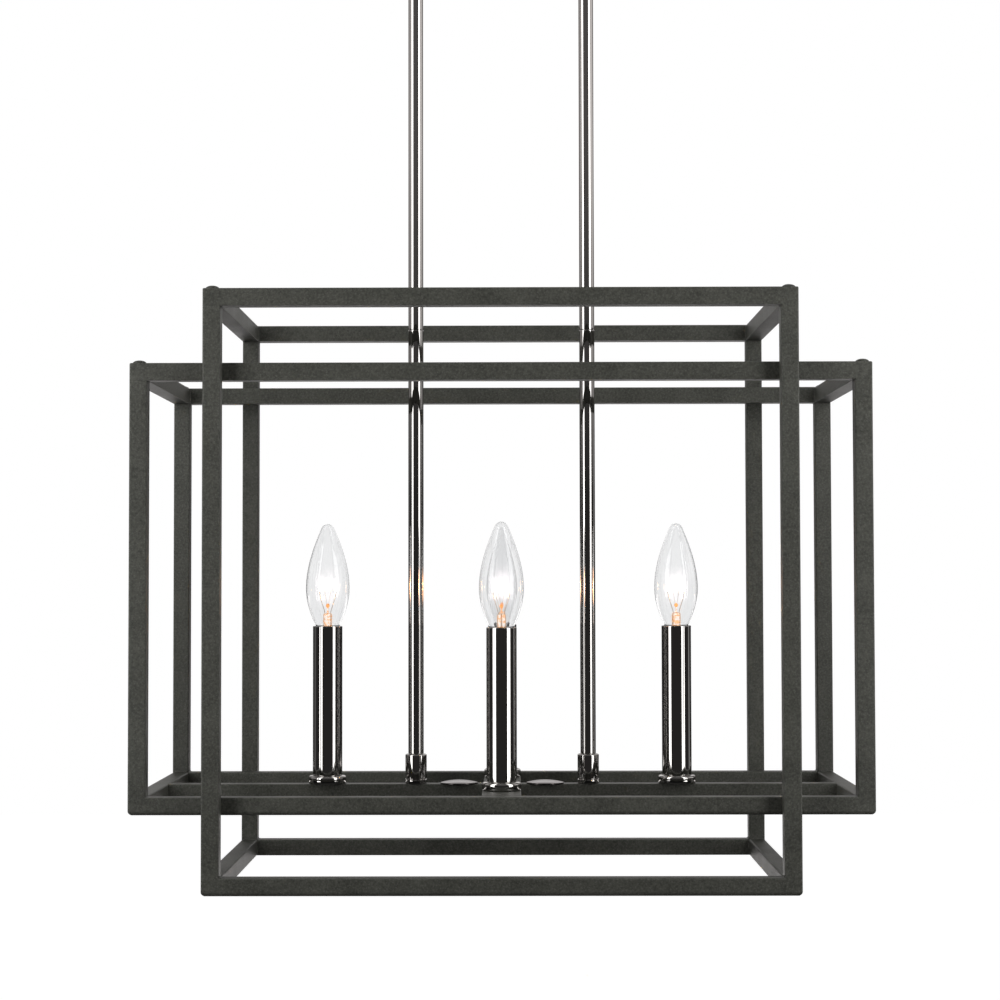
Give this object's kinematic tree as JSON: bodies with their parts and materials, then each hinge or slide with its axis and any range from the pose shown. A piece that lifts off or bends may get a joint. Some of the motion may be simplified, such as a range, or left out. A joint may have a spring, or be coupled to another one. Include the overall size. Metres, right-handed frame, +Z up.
{
  "type": "linear island pendant",
  "caption": "Linear island pendant: two nested open square-tube box frames hung on two stems, with candle sleeves and torpedo bulbs on a bar inside.",
  "frame": {"origin": "centre of the ceiling plane, on the top face of the crossbar", "axes": "+Z up into the ceiling, X along the fixture's length, -Y to the front"},
  "size_m": [0.502, 0.229, 0.7396],
  "materials": {
    "frame_coat": "textured matte charcoal powder coat",
    "black_nickel": "polished black nickel plate",
    "zinc_steel": "zinc plated",
    "phenolic": "moulded",
    "brass_contacts": "plain",
    "green_screw": "green dyed zinc",
    "clear_glass": "clear",
    "bulb_base_metal": "nickel plated",
    "filament_mount": "glass stem, leads and glowing filament"
  },
  "bodies": {
    "ceiling_mount": {"canopy": "frame_coat", "crossbar": "zinc_steel", "canopy_studs": "zinc_steel", "canopy_cap_nuts": "black_nickel", "ground_screw": "green_screw", "swivel_collar_left": "black_nickel", "swivel_collar_right": "black_nickel", "swivel_nipples": "zinc_steel", "swivel_lock_nuts": "zinc_steel"},
    "fixture": {"base_ring_back": "black_nickel", "base_ring_front": "black_nickel", "base_ring_left": "black_nickel", "base_ring_right": "black_nickel", "candle_nuts": "zinc_steel", "candle_threads": "zinc_steel", "centre_contacts": "brass_contacts", "corner_screws": "frame_coat", "cross_bar": "frame_coat", "lampholder_back": "phenolic", "lampholder_front": "phenolic", "lampholder_left": "phenolic", "lampholder_right": "phenolic", "lower_stem_left": "black_nickel", "lower_stem_right": "black_nickel", "middle_bar_left": "frame_coat", "middle_bar_right": "frame_coat", "post_plugs": "zinc_steel", "screw_shells": "brass_contacts", "stem_coupling_left": "black_nickel", "stem_coupling_right": "black_nickel", "stem_foot_nipples": "zinc_steel", "stem_foot_nuts": "zinc_steel", "stem_joint_nipples": "zinc_steel", "swivel_ball_left": "black_nickel", "swivel_ball_right": "black_nickel", "tall_lower_frame": "frame_coat", "tall_top_frame": "frame_coat", "terminal_screws": "zinc_steel", "upper_stem_left": "black_nickel", "upper_stem_right": "black_nickel", "wide_lower_frame": "frame_coat", "wide_top_frame": "frame_coat", "wiring_cap_left": "black_nickel", "wiring_cap_right": "black_nickel"},
    "sleeve_left": {"sleeve_left": "black_nickel"},
    "bulb_left": {"bulb_base_left": "bulb_base_metal", "bulb_glass_left": "clear_glass", "bulb_mount_left": "filament_mount"},
    "sleeve_right": {"sleeve_right": "black_nickel"},
    "bulb_right": {"bulb_base_right": "bulb_base_metal", "bulb_glass_right": "clear_glass", "bulb_mount_right": "filament_mount"},
    "sleeve_front": {"sleeve_front": "black_nickel"},
    "bulb_front": {"bulb_base_front": "bulb_base_metal", "bulb_glass_front": "clear_glass", "bulb_mount_front": "filament_mount"},
    "sleeve_back": {"sleeve_back": "black_nickel"},
    "bulb_back": {"bulb_base_back": "bulb_base_metal", "bulb_glass_back": "clear_glass", "bulb_mount_back": "filament_mount"}
  },
  "joints": [
    {"name": "swivel_sway", "type": "hinge", "parent": "ceiling_mount", "child": "fixture", "pos_m": [0, 0, -0.0332], "axis": [1, 0, 0], "range_deg": [-20, 20]},
    {"name": "sleeve_lift_left", "type": "slide", "parent": "fixture", "child": "sleeve_left", "axis": [0, 0, 1], "range_m": [0, 0.112]},
    {"name": "bulb_lift_left", "type": "slide", "parent": "sleeve_left", "child": "bulb_left", "axis": [0, 0, 1], "range_m": [0, 0.03]},
    {"name": "sleeve_lift_right", "type": "slide", "parent": "fixture", "child": "sleeve_right", "axis": [0, 0, 1], "range_m": [0, 0.112]},
    {"name": "bulb_lift_right", "type": "slide", "parent": "sleeve_right", "child": "bulb_right", "axis": [0, 0, 1], "range_m": [0, 0.03]},
    {"name": "sleeve_lift_front", "type": "slide", "parent": "fixture", "child": "sleeve_front", "axis": [0, 0, 1], "range_m": [0, 0.112]},
    {"name": "bulb_lift_front", "type": "slide", "parent": "sleeve_front", "child": "bulb_front", "axis": [0, 0, 1], "range_m": [0, 0.03]},
    {"name": "sleeve_lift_back", "type": "slide", "parent": "fixture", "child": "sleeve_back", "axis": [0, 0, 1], "range_m": [0, 0.112]},
    {"name": "bulb_lift_back", "type": "slide", "parent": "sleeve_back", "child": "bulb_back", "axis": [0, 0, 1], "range_m": [0, 0.03]}
  ]
}
